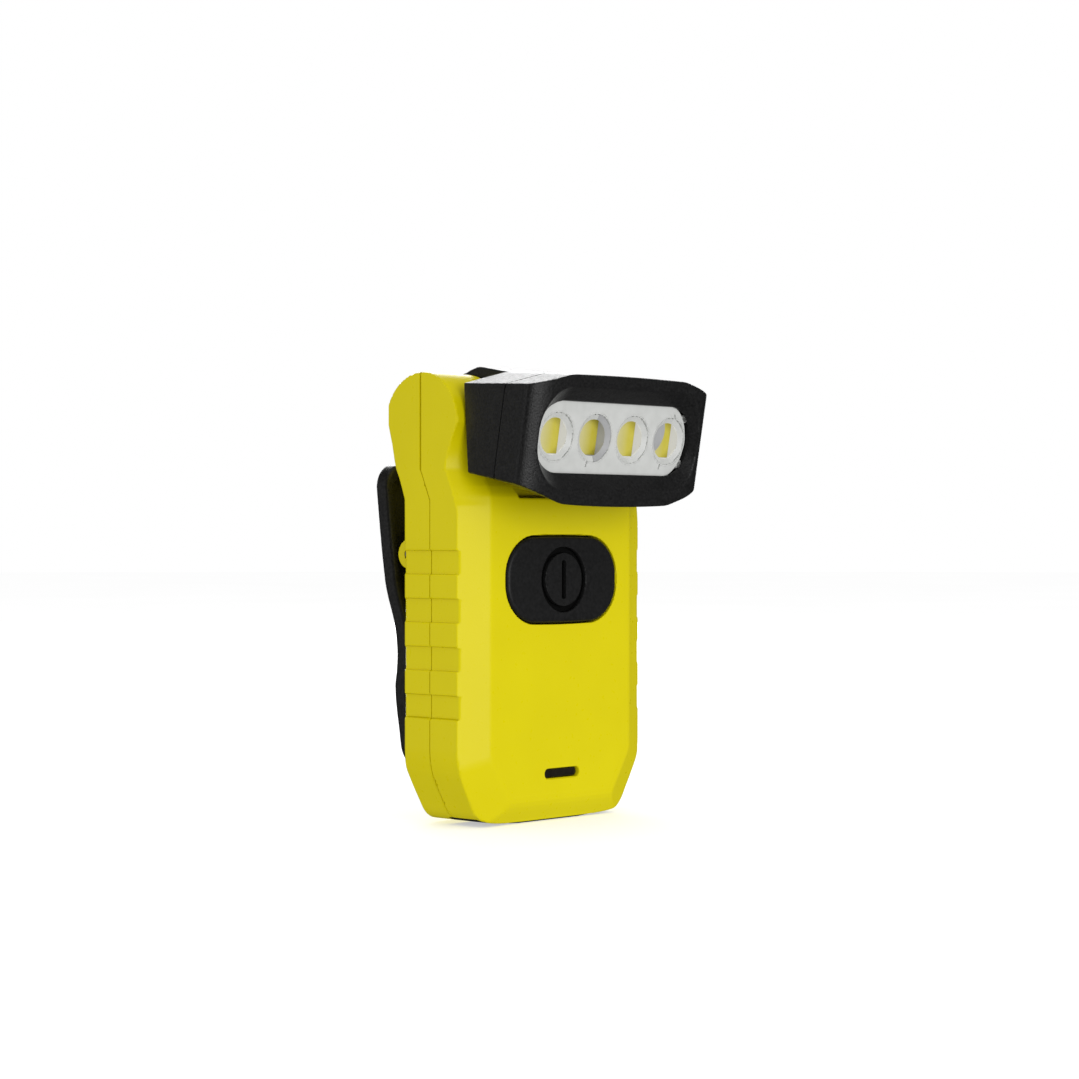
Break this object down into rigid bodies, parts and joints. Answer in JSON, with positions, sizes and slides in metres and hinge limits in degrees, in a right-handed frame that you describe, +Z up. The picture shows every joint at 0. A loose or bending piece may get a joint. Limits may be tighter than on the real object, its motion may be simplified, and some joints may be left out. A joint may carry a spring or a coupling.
{
  "type": "firefighter flashlight",
  "caption": "Flat clip-on safety light: a boxy case with a recessed thumb button, a spring clip on its back, and a tilting wide head on a hinge barrel.",
  "frame": {"origin": "middle of the flat base of the case, on the plane it stands on", "axes": "+Z up along the case to the hinge, -Y forward out of the button face and the lens, +X to the right of a person who looks into the lens"},
  "size_m": [0.055, 0.0528, 0.0937],
  "materials": {
    "yellow_plastic": "satin moulded nylon, fine grain",
    "black_plastic": "fine spark-eroded texture, matt",
    "black_component": "matt",
    "button_rubber": "satin silicone",
    "seal_rubber": "matt",
    "clear_lens": "clear, polished",
    "smoked_window": "smoked, polished",
    "led_phosphor": "yellow phosphor dome",
    "frosted_plastic": "light, satin",
    "steel": "bright turned",
    "brass": "polished",
    "aluminium": "bead blasted",
    "circuit_board": "solder mask",
    "battery_foil": "wrapped pouch foil",
    "foam": "open-cell foam",
    "coil_ferrite": "sintered ferrite",
    "lead_red": "silicone insulation",
    "lead_black": "silicone insulation"
  },
  "bodies": {
    "case": {"front_shell": "yellow_plastic", "rear_shell": "yellow_plastic", "case_seal": "seal_rubber", "base_insert": "black_plastic", "charge_contact_left": "brass", "charge_contact_right": "brass", "status_window": "smoked_window", "status_led": "led_phosphor", "main_board": "circuit_board", "switch_base": "black_component", "driver_chip": "black_component", "driver_coil": "coil_ferrite", "battery_cell": "battery_foil", "battery_pad": "foam", "battery_lead_plus": "lead_red", "battery_lead_minus": "lead_black", "head_lead": "lead_black", "case_screw_1": "steel", "case_screw_2": "steel", "case_screw_3": "steel", "case_screw_4": "steel", "button_seal": "seal_rubber", "hinge_pin_left": "steel", "friction_washer_left": "seal_rubber", "hinge_pin_right": "steel", "friction_washer_right": "seal_rubber", "clip_pin": "steel", "clip_spring": "steel"},
    "head": {"head_rear_shell": "black_plastic", "head_bezel": "black_plastic", "head_seal": "seal_rubber", "lens_plate": "clear_lens", "optic_frame": "frosted_plastic", "optic_1": "clear_lens", "led_1": "led_phosphor", "optic_2": "clear_lens", "led_2": "led_phosphor", "optic_3": "clear_lens", "led_3": "led_phosphor", "optic_4": "clear_lens", "led_4": "led_phosphor", "led_board": "circuit_board", "heat_spreader": "aluminium", "board_screw_left": "steel", "board_screw_right": "steel"},
    "clip": {"clip_lever": "black_plastic"},
    "button": {"power_button": "button_rubber"},
    "switch_stem": {"switch_stem": "frosted_plastic"}
  },
  "joints": [
    {"name": "head_tilt", "type": "hinge", "parent": "case", "child": "head", "pos_m": [0, 0.0026, 0.0815], "axis": [1, 0, 0], "range_deg": [-96, 4], "deforming": ["head_lead"]},
    {"name": "clip_open", "type": "hinge", "parent": "case", "child": "clip", "pos_m": [0, 0.012, 0.0551], "axis": [1, 0, 0], "range_deg": [0, 20], "stiffness_Nm_per_rad": 0.35, "springref_deg": -17.19, "deforming": ["clip_spring"]},
    {"name": "button_press", "type": "slide", "parent": "case", "child": "button", "axis": [0, 1, 0], "range_m": [0, 0.0008], "stiffness_N_per_m": 1500, "springref_m": -0.0005},
    {"name": "stem_press", "type": "slide", "parent": "case", "child": "switch_stem", "axis": [0, 1, 0], "range_m": [0, 0.0008]}
  ],
  "couplings": [
    {"joint": "stem_press", "follows": "button_press", "ratio": 1}
  ]
}
